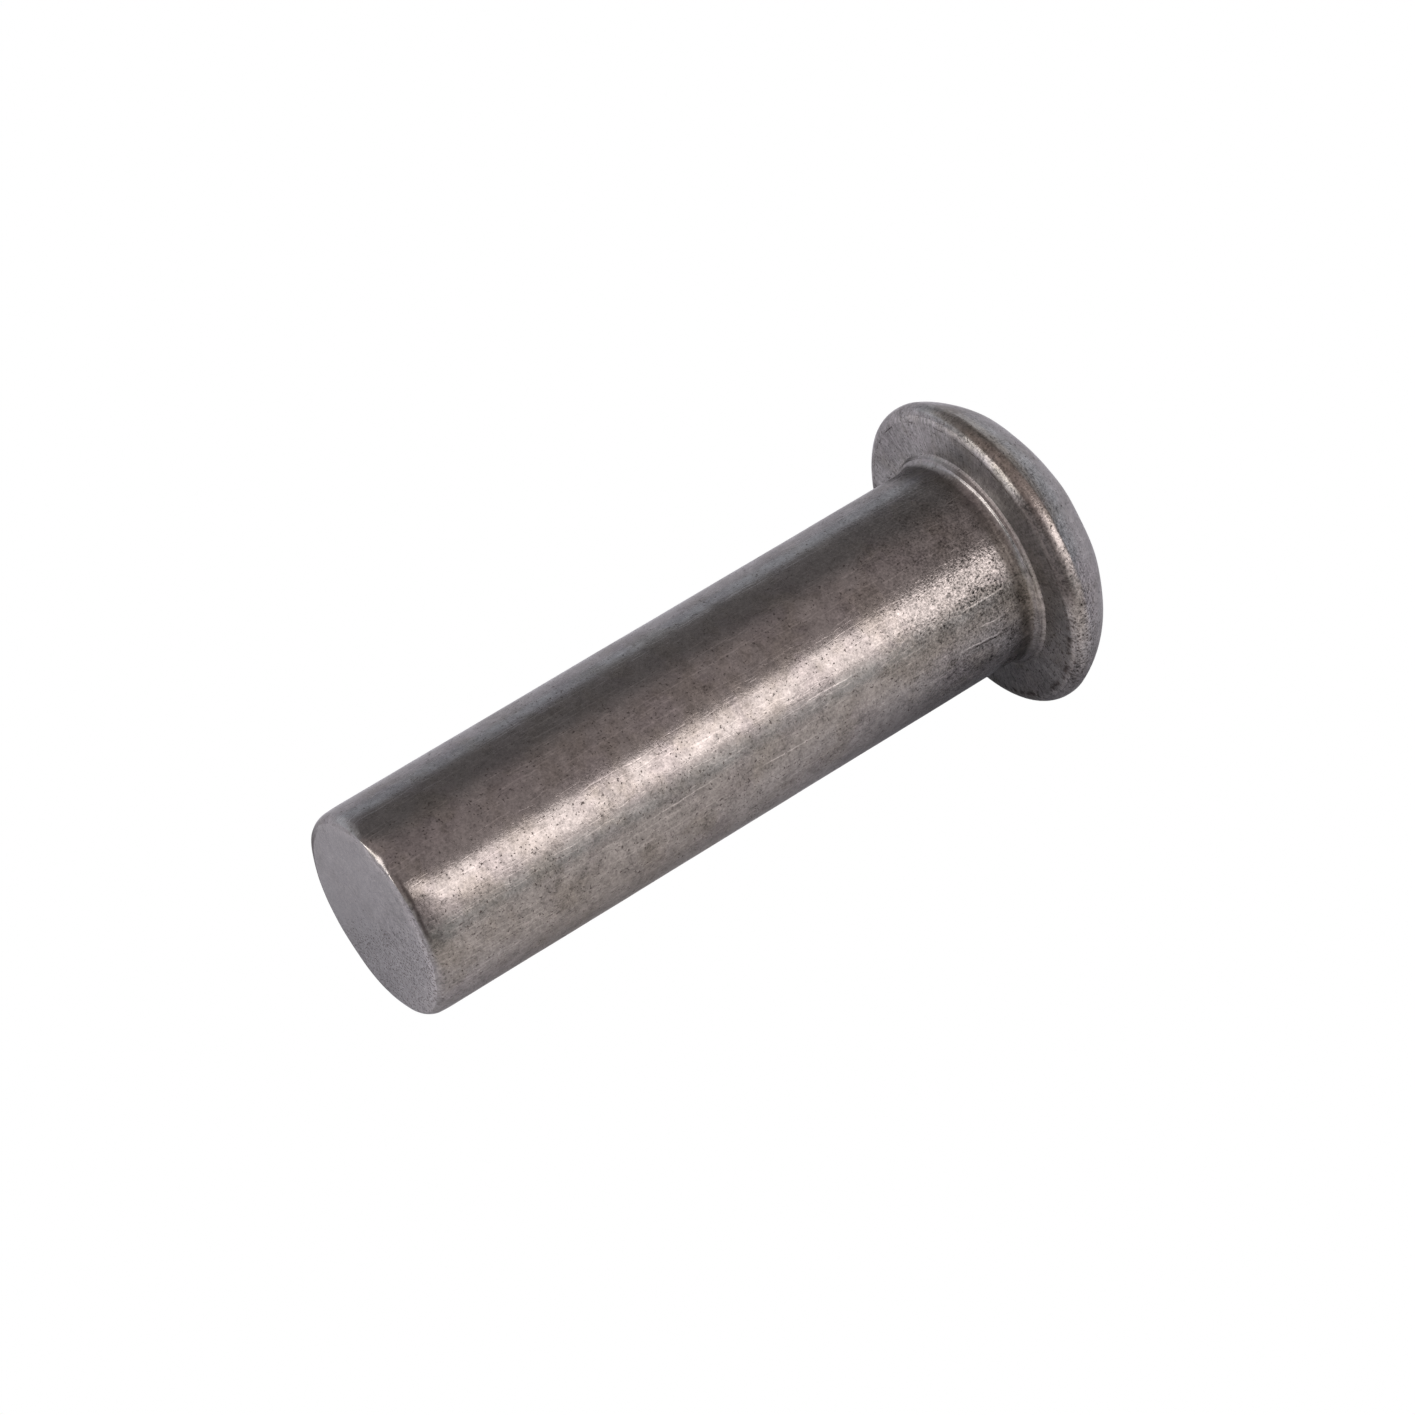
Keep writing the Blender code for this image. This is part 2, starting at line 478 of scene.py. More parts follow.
def worn_profile(sizes, angle):
    """The rivet's profile at an angle round it, from beside the crown to the middle of the tail."""
    shank = sizes.shank_diameter / 2
    rim = sizes.rim_radius * (1 + 0.04 * wave(angle, 7, 3.1))
    flats = [1 + 0.15 * wave(angle, 19, 11.0 * i) for i in range(len(RIM_ARCS))]
    flats[DENTED_ARC] += 0.17 * nearness(angle, DENT_BEARING, 0.36)
    points = head_profile(rim, flats, FLAT_DEPTH * nearness(angle, FLAT_BEARING, 0.17))
    ring = ring_profile(shank, 0.06 * MM * wave(angle, 14, 4.4), 1 + 0.12 * wave(angle, 23, 6.3))
    points += run(points[-1], (points[-1][0] - 3 * GROOVE_WIDTH, SEAT_HEIGHT), 5)
    points += run(points[-1], ring[0], 9)
    points += ring[1:]
    taper = math.radians(95.0 + 7.5 * nearness(angle, TAPER_BEARING, 0.45))
    tail = tail_profile(shank, sizes.tail_edge * edge_share(angle), taper, crispness(angle))
    neck = (shank, SEAT_HEIGHT * CLOSE_ROWS_FROM)
    points += run(points[-1], neck, 34)
    points += run(neck, tail[0], 56)
    points += tail[1:]
    points += run(points[-1], (0.0, 0.0), 14)[:-1]
    return points


def relief(place, unevenness):
    """How far forging and handling moved the surface at a place, outward in metres."""
    slow = noise.noise(place / (7.0 * MM))
    quick = noise.noise(place / (2.2 * MM) + Vector((9.0, 2.0, 5.0)))
    return unevenness * (0.6 * slow + 0.4 * quick - 0.6)


def groove(place):
    """Depth of the groove that runs, deeper and shallower, between the bearing face and the rim."""
    if abs(place.z - SEAT_HEIGHT) > 2 * GROOVE_WIDTH:
        return 0.0
    out = (place.xy.length - GROOVE_RADIUS) / GROOVE_WIDTH
    if abs(out) > 3:
        return 0.0
    angle = math.atan2(place.y, place.x)
    share = 0.5 * math.cos(angle - GROOVE_BEARING) + 1.5 * wave(angle, 60, 1.7) - 0.15
    return GROOVE_DEPTH * max(0.0, share) * math.exp(-out**2)


def rivet_mesh(sizes):
    """The turned and worn body as one closed mesh of quads with a fan at each end."""
    columns = sizes.columns
    places = []
    for i in range(columns):
        angle = math.tau * i / columns
        turn = level(angle)
        places += [turn * r + Vector((0.0, 0.0, z)) for r, z in worn_profile(sizes, angle)]
    rows = len(places) // columns
    crown, tail = len(places), len(places) + 1
    places += [Vector((0.0, 0.0, TOP)), Vector((0.0, 0.0, 0.0))]
    faces = []
    for i in range(columns):
        here, there = i * rows, (i + 1) % columns * rows
        faces.append((crown, here, there))
        faces += [(here + j, here + j + 1, there + j + 1, there + j) for j in range(rows - 1)]
        faces.append((here + rows - 1, tail, there + rows - 1))
    mesh = bpy.data.meshes.new("forged_rivet")
    mesh.from_pydata(places, [], faces)
    mesh.update()
    wear(mesh, sizes)
    mesh.shade_smooth()
    return mesh


def wear(mesh, sizes):
    """Moves each vertex along its normal by the relief there."""
    normals = [vertex.normal.copy() for vertex in mesh.vertices]
    for vertex, normal in zip(mesh.vertices, normals):
        vertex.co += normal * (relief(vertex.co, sizes.unevenness) - groove(vertex.co))


def facing(tree, at, side, most=1.0, least=0.0, fade="SMOOTHSTEP"):
    """A mask of one side of the rivet, as SPARKLING_SIDE and the like say, from least to most."""
    bearing, start, full = side
    toward = add(tree, "ShaderNodeVectorMath", [
        (0, at.outward), (1, level(bearing)),
    ], operation="DOT_PRODUCT").outputs["Value"]
    return add(tree, "ShaderNodeMapRange", [
        ("Value", toward), ("From Min", start), ("From Max", full), ("To Min", least), ("To Max", most),
    ], interpolation_type=fade).outputs["Result"]


def band(tree, lower, upper, limits, most=1.0):
    """A mask of a band of height. Its lower and upper edge each go by a height of their own."""
    start, full, last, end = limits
    risen = add(tree, "ShaderNodeMapRange", [
        ("Value", lower), ("From Min", start), ("From Max", full), ("To Max", most),
    ], interpolation_type="SMOOTHSTEP").outputs["Result"]
    return add(tree, "ShaderNodeMapRange", [
        ("Value", upper), ("From Min", end), ("From Max", last), ("To Max", risen),
    ], interpolation_type="SMOOTHSTEP").outputs["Result"]


def soft_line(tree, value, middle, half, core, most=1.0, fade="SMOOTHSTEP"):
    """A mask of a line where a value is near its middle: full within core, and gone at half."""
    offset = add(tree, "ShaderNodeMath", [(0, value), (1, middle)], operation="SUBTRACT").outputs[0]
    distance = add(tree, "ShaderNodeMath", [(0, offset)], operation="ABSOLUTE").outputs[0]
    return add(tree, "ShaderNodeMapRange", [
        ("Value", distance), ("From Min", half), ("From Max", core), ("To Max", most),
    ], interpolation_type=fade).outputs["Result"]


def streaks(tree, at, across, fineness, width, detail, roughness, mask):
    """Streaks in a mask, about zero: how fine they are round the rivet, and how wide across it."""
    round_about = add(tree, "ShaderNodeVectorMath", [
        (0, at.outward), (1, (fineness, fineness, 0.0)),
    ], operation="MULTIPLY").outputs["Vector"]
    place = add(tree, "ShaderNodeVectorMath", [
        (0, (0.0, 0.0, 1 / width)), (1, across), (2, round_about),
    ], operation="MULTIPLY_ADD").outputs["Vector"]
    field = add(tree, "ShaderNodeTexNoise", [
        ("Vector", place), ("Scale", 1.0), ("Detail", detail), ("Roughness", roughness),
    ]).outputs["Fac"]
    centred = add(tree, "ShaderNodeMath", [(0, field), (1, 0.5)], operation="SUBTRACT").outputs[0]
    return add(tree, "ShaderNodeMath", [(0, centred), (1, mask)], operation="MULTIPLY").outputs[0]


def with_shares(tree, value, parts):
    """A value with each of its parts, a mask and its share, added to it."""
    for mask, share in parts:
        value = add(tree, "ShaderNodeMath", [
            (0, mask), (1, share), (2, value),
        ], operation="MULTIPLY_ADD").outputs[0]
    return value


def strongest(tree, value, parts):
    """The largest of a value and its parts, each a mask times its share."""
    for mask, share in parts:
        part = add(tree, "ShaderNodeMath", [(0, mask), (1, share)], operation="MULTIPLY").outputs[0]
        value = add(tree, "ShaderNodeMath", [(0, value), (1, part)], operation="MAXIMUM").outputs[0]
    return value


def steel_fields(tree):
    """What the steel's masks go by: place, height, radius, sides, and noise of two sizes."""
    at = SimpleNamespace()
    at.place = add(tree, "ShaderNodeTexCoord").outputs["Object"]
    at.height = add(tree, "ShaderNodeSeparateXYZ", [(0, at.place)]).outputs["Z"]
    flat = add(tree, "ShaderNodeVectorMath", [
        (0, at.place), (1, (1.0, 1.0, 0.0)),
    ], operation="MULTIPLY").outputs["Vector"]
    at.radius = add(tree, "ShaderNodeVectorMath", [(0, flat)], operation="LENGTH").outputs["Value"]
    at.outward = add(tree, "ShaderNodeVectorMath", [
        (0, flat),
    ], operation="NORMALIZE").outputs["Vector"]
    at.on_tail = add(tree, "ShaderNodeMath", [
        (0, at.height), (1, 0.1 * MM),
    ], operation="LESS_THAN").outputs[0]
    at.across_tail = add(tree, "ShaderNodeVectorMath", [
        (0, at.place), (1, level(SPECKLED_BEARING)),
    ], operation="DOT_PRODUCT").outputs["Value"]
    at.under_head = add(tree, "ShaderNodeMath", [
        (0, at.height), (1, SEAT_HEIGHT), (2, 0.12 * MM),
    ], operation="COMPARE").outputs[0]

    # Noise is weakest where its own grid lies, so it is taken a little off the tail face's plane
    at.shifted = add(tree, "ShaderNodeVectorMath", [
        (0, at.place), (1, (3.1 * MM, 1.7 * MM, 0.41 * MM)),
    ], operation="ADD").outputs["Vector"]
    at.patches, at.tints = add(tree, "ShaderNodeTexNoise", [
        ("Vector", at.shifted), ("Scale", 1 / PATCH_SIZE), ("Detail", 3.0), ("Roughness", 0.6),
    ]).outputs[:]
    at.ragged = add(tree, "ShaderNodeTexNoise", [
        ("Vector", at.shifted), ("Scale", 1 / RAGGED_SIZE), ("Detail", 3.0), ("Roughness", 0.65),
    ]).outputs["Fac"]
    at.ragged_height, at.ragged_radius = [
        add(tree, "ShaderNodeMath", [
            (0, at.ragged), (1, RAGGED_DEPTH), (2, value),
        ], operation="MULTIPLY_ADD").outputs[0]
        for value in (at.height, at.radius)
    ]
    return at


def etched_grain(tree, at, coarse):
    """Etched grain about zero, and how deep each side of the rivet is etched.

    The real grain is about 0.03 mm, and is drawn from 0.1 mm up so that it shows.
    """
    grain = add(tree, "ShaderNodeTexNoise", [
        ("Vector", at.shifted), ("Scale", 1 / GRAIN_SIZE), ("Detail", 2.0), ("Roughness", 1.0),
    ]).outputs["Fac"]
    fine_grain = add(tree, "ShaderNodeTexNoise", [
        ("Vector", at.shifted), ("Scale", 1 / FINE_GRAIN_SIZE), ("Detail", 1.0), ("Roughness", 0.7),
        ("Distortion", 0.3),
    ]).outputs["Fac"]
    side_depth = facing(tree, at, ETCHED_SIDE, 1.12, 0.64, "LINEAR")
    busy = add(tree, "ShaderNodeMapRange", [
        ("Value", at.patches), ("From Min", 0.3), ("From Max", 0.7), ("To Min", 0.8),
        ("To Max", 1.2),
    ]).outputs["Result"]
    depth = add(tree, "ShaderNodeMath", [(0, busy), (1, side_depth)], operation="MULTIPLY").outputs[0]
    fine_depth = add(tree, "ShaderNodeMath", [
        (0, coarse), (1, 1.6), (2, 0.7),
    ], operation="MULTIPLY_ADD").outputs[0]
    fine = add(tree, "ShaderNodeMath", [(0, fine_grain), (1, 0.5)], operation="SUBTRACT").outputs[0]
    both = with_shares(tree, -0.4, [(grain, 0.8), (fine, fine_depth)])
    etched = add(tree, "ShaderNodeMath", [(0, both), (1, depth)], operation="MULTIPLY").outputs[0]
    return etched, side_depth


def dark_specks(tree, at, rim):
    """Dark specks, 0.1 to 0.3 mm across, in crowds. On the cut tail they keep to one side."""
    bare_side = add(tree, "ShaderNodeMapRange", [
        ("Value", at.across_tail), ("From Min", 1.5 * MM), ("From Max", -1.0 * MM),
        ("To Min", -0.105), ("To Max", 0.06),
    ], interpolation_type="SMOOTHSTEP").outputs["Result"]
    spread = add(tree, "ShaderNodeMapRange", [
        ("Value", at.ragged), ("From Min", 0.35), ("From Max", 0.6), ("To Min", 0.05),
        ("To Max", -0.02),
    ]).outputs["Result"]
    pitted = facing(tree, at, PITTED_SIDE, rim)
    field = add(tree, "ShaderNodeTexNoise", [
        ("Vector", at.shifted), ("Scale", 1 / SPECK_SIZE), ("Detail", 2.0),
    ]).outputs["Fac"]
    thinned = with_shares(tree, spread, [(pitted, -0.08), (bare_side, at.on_tail), (field, 1.0)])
    share = add(tree, "ShaderNodeMapRange", [
        ("Value", at.on_tail), ("To Min", 0.72), ("To Max", 0.6),
    ]).outputs["Result"]
    small_specks = add(tree, "ShaderNodeMapRange", [
        ("Value", thinned), ("From Min", 0.375), ("From Max", 0.315), ("To Max", share),
    ], interpolation_type="SMOOTHSTEP").outputs["Result"]
    pit_field = add(tree, "ShaderNodeTexNoise", [
        ("Vector", at.shifted), ("Scale", 1 / PIT_SIZE), ("Detail", 2.0), ("Roughness", 0.6),
    ]).outputs["Fac"]
    large_pits = add(tree, "ShaderNodeMapRange", [
        ("Value", pit_field), ("From Min", 0.27), ("From Max", 0.2), ("To Max", 0.7),
    ], interpolation_type="SMOOTHSTEP").outputs["Result"]
    return add(tree, "ShaderNodeMath", [
        (0, small_specks), (1, large_pits),
    ], operation="MAXIMUM").outputs[0]


def hairlines(tree, at):
    """Faint scratches along the shank."""
    stretched = add(tree, "ShaderNodeVectorMath", [
        (0, at.place), (1, (1 / HAIRLINE_WIDTH, 1 / HAIRLINE_WIDTH, 1 / HAIRLINE_LENGTH)),
    ], operation="MULTIPLY").outputs["Vector"]
    bent = add(tree, "ShaderNodeVectorMath", [
        (0, at.tints), (1, (5.0, 5.0, 0.0)), (2, stretched),
    ], operation="MULTIPLY_ADD").outputs["Vector"]
    lines = add(tree, "ShaderNodeTexNoise", [
        ("Vector", bent), ("Scale", 1.0), ("Detail", 0.0),
    ]).outputs["Fac"]
    return add(tree, "ShaderNodeMapRange", [
        ("Value", lines), ("From Min", 0.64), ("From Max", 0.76),
    ], interpolation_type="SMOOTHSTEP").outputs["Result"]


def single_scratches(tree, at, shank):
    """How dark and how bright the single scratches are at a place."""
    lines = []
    for start, low, end, high, half, gloss in SCRATCHES:
        middle = (start + end) / 2
        slant = (end - start) * shank / (high - low)
        offset = add(tree, "ShaderNodeVectorMath", [
            (0, at.place), (1, (-math.sin(middle), math.cos(middle), -slant)),
        ], operation="DOT_PRODUCT").outputs["Value"]
        wavering = add(tree, "ShaderNodeMath", [
            (0, at.ragged), (1, RAGGED_DEPTH), (2, offset),
        ], operation="MULTIPLY_ADD").outputs[0]
        nearer = add(tree, "ShaderNodeVectorMath", [
            (0, at.place), (1, level(middle)),
        ], operation="DOT_PRODUCT").outputs["Value"]
        this_side = add(tree, "ShaderNodeMath", [
            (0, nearer), (1, 0.0),
        ], operation="GREATER_THAN").outputs[0]
        reach = (high - low) / 2
        along = soft_line(
            tree, at.height, (low + high) / 2, reach, reach / 3, this_side, "LINEAR",
        )
        centre = RAGGED_DEPTH / 2 - slant * (low + high) / 2
        lines.append((soft_line(tree, wavering, centre, half, 0.0, along), gloss))
    dark = with_shares(tree, 0.0, [(line, 1.0 - gloss) for line, gloss in lines])
    return dark, with_shares(tree, 0.0, lines)


def ring_dirt(tree, at):
    """Dirt behind the die ring, in the crease beside its ridge, and in the groove round the seat."""
    flare_side = facing(tree, at, DIRTY_SIDE, 1.0, 0.3)
    flare = band(tree, at.ragged_height, at.ragged_height, FLARE_BAND, flare_side)
    crease_depth = add(tree, "ShaderNodeMapRange", [
        ("Value", at.ragged), ("From Min", 0.4), ("From Max", 0.6), ("To Max", flare_side),
    ]).outputs["Result"]
    crease = soft_line(tree, at.height, CREASE_HEIGHT, 0.05 * MM, 0.01 * MM, crease_depth)
    width = facing(tree, at, GROOVE_SIDE, 0.3 * MM, 0.04 * MM, "LINEAR")
    broken = add(tree, "ShaderNodeMapRange", [
        ("Value", at.ragged), ("From Min", 0.46), ("From Max", 0.58), ("To Max", at.under_head),
    ], interpolation_type="SMOOTHSTEP").outputs["Result"]
    middle = GROOVE_RADIUS + RAGGED_DEPTH / 2
    return flare, crease, soft_line(tree, at.ragged_radius, middle, width, 0.02 * MM, broken)


def tail_lines_and_shade(tree, at, shank):
    """A painted dark reflection along the tail's edge, a dark line on its far side, and painted shade
    over its taper.
    """
    # A dark reflection painted along the tail's edge
    side = facing(tree, at, PAINTED_EDGE_REFLECTION_SIDE)
    painted_edge_reflection = soft_line(tree, at.ragged_height, PAINTED_EDGE_REFLECTION_HEIGHT, 0.17 * MM, 0.03 * MM, side)
    near_face = add(tree, "ShaderNodeMapRange", [
        ("Value", at.height), ("From Min", 0.4 * MM), ("From Max", 0.3 * MM),
        ("To Max", facing(tree, at, FAR_EDGE_SIDE)),
    ]).outputs["Result"]
    far_edge = add(tree, "ShaderNodeMapRange", [
        ("Value", at.ragged_radius), ("From Min", shank - 0.6 * MM), ("From Max", shank - 0.45 * MM),
        ("To Max", near_face),
    ], interpolation_type="SMOOTHSTEP").outputs["Result"]
    # Painted shade over the taper, kept off the tail face
    off_face = add(tree, "ShaderNodeMapRange", [
        ("Value", at.height), ("From Min", 0.2 * MM), ("From Max", 0.4 * MM),
        ("To Max", facing(tree, at, TAPER_SIDE)),
    ]).outputs["Result"]
    shade = add(tree, "ShaderNodeMapRange", [
        ("Value", at.ragged_height), ("From Min", 2.0 * MM), ("From Max", 1.0 * MM),
        ("To Max", off_face),
    ], interpolation_type="SMOOTHSTEP").outputs["Result"]
    return painted_edge_reflection, far_edge, shade


def steel_colour(tree, at, look, brown, dark):
    """The steel and the film on it, browned and darkened by two masks, and where the film lies. The
    dark mask is dirt and specks, together with the dark reflection painted along the tail's edge.
    """
    hue = add(tree, "ShaderNodeSeparateXYZ", [(0, at.tints)]).outputs["Y"]
    browner = add(tree, "ShaderNodeMapRange", [
        ("Value", hue), ("From Min", 0.42), ("From Max", 0.58),
    ], interpolation_type="SMOOTHSTEP").outputs["Result"]
    oiled = add(tree, "ShaderNodeMix", [
        (0, browner), (6, (*look.film, 1.0)), (7, (*look.oxide, 1.0)),
    ], data_type="RGBA").outputs[2]
    off_tail = add(tree, "ShaderNodeMapRange", [
        ("Value", at.on_tail), ("To Min", 1.0), ("To Max", 0.3),
    ]).outputs["Result"]
    film = add(tree, "ShaderNodeMapRange", [
        ("Value", at.patches), ("From Min", 0.38), ("From Max", 0.62), ("To Max", off_tail),
    ], interpolation_type="SMOOTHSTEP").outputs["Result"]
    colour = add(tree, "ShaderNodeMix", [
        (0, film), (6, (*look.steel, 1.0)), (7, oiled),
    ], data_type="RGBA").outputs[2]
    for share, over in ((brown, look.rust), (dark, look.pit)):
        colour = add(tree, "ShaderNodeMix", [
            (0, share), (6, colour), (7, (*over, 1.0)),
        ], data_type="RGBA").outputs[2]
    return colour, film


def forged_steel(look, shank):
    """Plain carbon steel, cold forged in a die and tumbled.

    It gives the eye a soft satin gloss that is broken up by fine grain, by dark specks and faint
    lengthwise scratches, and by a thin brown film that lies in patches. Beside the head the surface
    is coarser and dirtier, with painted shade on it. Painted reflections lie on the face under the
    head and along the tail's edge, and painted shade over the tail's taper.
    """
    material, tree, surface = new_material("forged_steel")
    at = steel_fields(tree)

    # Where the surface is coarse: the last 9 mm of shank, and less on the rim
    sparkling = facing(tree, at, SPARKLING_SIDE, 0.76, 0.33)
    neck = band(tree, at.height, at.height, NECK_BAND, sparkling)
    rim = band(tree, at.height, at.height, RIM_BAND)
    etched, side_depth = etched_grain(tree, at, strongest(tree, neck, [(rim, 0.4)]))

    # Short streaks round the rim, where the die rubbed it, and scoring on the face under the head
    across_rim = add(tree, "ShaderNodeMath", [
        (0, at.height), (1, -1.0), (2, at.radius),
    ], operation="MULTIPLY_ADD").outputs[0]
    rim_rubs = streaks(tree, at, across_rim, 13.0, RUB_WIDTH, 3.0, 0.7, rim)
    scored = streaks(tree, at, at.radius, 60.0, SCORE_LENGTH, 2.0, 0.6, at.under_head)

    specks = dark_specks(tree, at, rim)
    hairline = hairlines(tree, at)
    scratch_dark, scratch_bright = single_scratches(tree, at, shank)
    flare, crease, groove_dirt = ring_dirt(tree, at)
    painted_edge_reflection, far_edge, edge_shade = tail_lines_and_shade(tree, at, shank)

    # Brown stain on one side of the rim, dark dirt low on the rim, and a smudge beside the crown
    stain_side = facing(tree, at, STAIN_SIDE)
    stain = band(tree, at.ragged_height, at.ragged_height, STAIN_BAND, stain_side)
    low_rim = band(tree, at.height, at.ragged_height, LOW_RIM_BAND, stain_side)
    dirty_side = facing(tree, at, RIM_DIRT_SIDE)
    rim_dirt = band(tree, at.height, at.ragged_height, RIM_DIRT_BAND, dirty_side)
    blotchy_height = add(tree, "ShaderNodeMath", [
        (0, at.patches), (1, BLOTCH_DEPTH), (2, at.ragged_height),
    ], operation="MULTIPLY_ADD").outputs[0]
    smudge_side = facing(tree, at, SMUDGE_SIDE)
    smudge = band(tree, at.ragged_height, blotchy_height, SMUDGE_BAND, smudge_side)

    brown = strongest(tree, 0.0, [(flare, 0.35), (stain, 0.35)])
    # Dark marks: specks, scratches and dirt, and the dark reflection painted along the tail's edge
    dark = strongest(tree, specks, [
        (scratch_dark, 0.5), (crease, 0.6), (groove_dirt, 0.75), (painted_edge_reflection, 0.7), (far_edge, 0.8),
        (rim_dirt, 0.72),
    ])
    dirty, film = steel_colour(tree, at, look, brown, dark)

    # Overall tone: darker beside the head, most of all where it is etched, which is partly duller steel
    # and partly painted shade, and clean on the cut tail
    dome = add(tree, "ShaderNodeMapRange", [
        ("Value", at.height), ("From Min", DOME_FADE[0]), ("From Max", DOME_FADE[1]),
    ], interpolation_type="SMOOTHSTEP").outputs["Result"]
    tail_side = add(tree, "ShaderNodeMapRange", [
        ("Value", at.across_tail), ("From Min", -1.0 * MM), ("From Max", 3.5 * MM),
        ("To Max", at.on_tail),
    ], interpolation_type="SMOOTHSTEP").outputs["Result"]
    near_head = add(tree, "ShaderNodeMapRange", [
        ("Value", at.height), ("From Min", HEAD_FADE[0]), ("From Max", HEAD_FADE[1]),
    ], interpolation_type="SMOOTHSTEP").outputs["Result"]
    below_head = add(tree, "ShaderNodeMapRange", [
        ("Value", at.height), ("From Min", RING_FADE[0]), ("From Max", RING_FADE[1]),
        ("To Max", side_depth),
    ]).outputs["Result"]
    # Painted shade beside the head where the steel turns away, on top of its duller steel
    dull_and_shaded = add(tree, "ShaderNodeMath", [
        (0, near_head), (1, below_head),
    ], operation="MULTIPLY").outputs[0]
    tone = with_shares(tree, 1.0, [
        (dull_and_shaded, -0.24), (etched, 1.5), (rim_rubs, 1.6), (flare, -0.1), (dome, 0.13),
        (at.on_tail, 0.18), (tail_side, 0.26), (hairline, 0.24),
        # The face under the head: a painted reflection of the lit shank, and lighter further round
        (facing(tree, at, PAINTED_REFLECTION_SIDE, at.under_head), 0.5),
        (facing(tree, at, FAR_LIGHTER_SIDE, at.under_head), 0.35), (stain, 0.3), (scored, 1.5),
        (facing(tree, at, DULLED_SIDE, at.under_head), -0.2), (low_rim, -0.2), (smudge, -0.2),
        (edge_shade, -0.27), (neck, -0.06), (scratch_bright, 0.9), (scratch_dark, -0.4),
    ])
    colour = add(tree, "ShaderNodeVectorMath", [
        (0, dirty), (3, tone),
    ], operation="SCALE").outputs["Vector"]

    # Gloss: duller under the film, on the head and in the dirt
    rough = with_shares(tree, look.roughness, [
        (near_head, 0.04), (film, 0.06), (dark, 0.3), (flare, 0.15), (at.under_head, 0.15),
        (dome, 0.03),
    ])
    bumps = with_shares(tree, etched, [
        (specks, -0.3), (scratch_dark, -0.5), (scratch_bright, 0.4), (hairline, -0.25),
        (rim_rubs, 1.2), (scored, 0.8),
    ])
    bump = add(tree, "ShaderNodeBump", [
        ("Height", bumps), ("Distance", BUMP_DEPTH),
    ]).outputs["Normal"]

    surface.inputs["Metallic"].default_value = 1.0
    # The film keeps the steel from brightening at a grazing angle as clean metal would
    surface.inputs["Specular Tint"].default_value = (0.64, 0.64, 0.64, 1.0)
    tree.links.new(colour, surface.inputs["Base Color"])
    tree.links.new(rough, surface.inputs["Roughness"])
    tree.links.new(bump, surface.inputs["Normal"])
    return material


class RIVET_OT_forge(bpy.types.Operator):
    """Turns and wears the forged rivet and gives it its steel"""

    bl_idname = "rivet.forge"
    bl_label = "Forge rivet"

    def execute(self, context):
        sizes = context.scene.rivet_sizes
        mesh = rivet_mesh(sizes)
        mesh.materials.append(forged_steel(context.scene.rivet_steel, sizes.shank_diameter / 2))
        piece = bpy.data.objects.new("forged_rivet", mesh)
        context.scene.collection.objects.link(piece)
        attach(piece, "root")
        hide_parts(NODE)
        return {"FINISHED"}


def flat_sheet(context, name, half, material, placed):
    """A square sheet of the stage. It casts no shadow and takes no part in soft bounced light."""
    mesh = bpy.data.meshes.new(name)
    corners = [(-half, -half, 0.0), (half, -half, 0.0), (half, half, 0.0), (-half, half, 0.0)]
    mesh.from_pydata(corners, [], [(0, 1, 2, 3)])
    mesh.materials.append(material)
    sheet = bpy.data.objects.new(name, mesh)
    sheet.matrix_world = placed
    sheet.visible_diffuse = False
    sheet.visible_transmission = False
    sheet.visible_shadow = False
    context.scene.collection.objects.link(sheet)
    return sheet


def floor_paint(look):
    """Matt white paint, which is seen from above only and fades into the white far away."""
    material, tree, surface = new_material("floor_paint")
    surface.inputs["Base Color"].default_value = (*look.floor, 1.0)
    surface.inputs["Roughness"].default_value = 0.9
    surface.inputs["Specular IOR Level"].default_value = 0.1
    below = add(tree, "ShaderNodeNewGeometry").outputs["Backfacing"]
    place = add(tree, "ShaderNodeTexCoord").outputs["Object"]
    distance = add(tree, "ShaderNodeVectorMath", [(0, place)], operation="LENGTH").outputs["Value"]
    unseen = add(tree, "ShaderNodeMapRange", [
        ("Value", distance), ("From Min", FLOOR_FADE[0]), ("From Max", FLOOR_FADE[1]),
        ("To Min", below),
    ], interpolation_type="SMOOTHSTEP").outputs["Result"]
    clear = add(tree, "ShaderNodeBsdfTransparent").outputs[0]
    mixed = add(tree, "ShaderNodeMixShader", [(0, unseen), (1, surface.outputs[0]), (2, clear)])
    tree.links.new(mixed.outputs[0], tree.nodes["Material Output"].inputs["Surface"])
    return material


def make_floor(context, look):
    """The pale floor, just under the tail. It is left out of what the steel reflects."""
    under_tail = Matrix.Translation((0.0, 0.0, -0.02 * MM))
    floor = flat_sheet(context, "floor", FLOOR_HALF, floor_paint(look), under_tail)
    floor.visible_glossy = False
    return floor


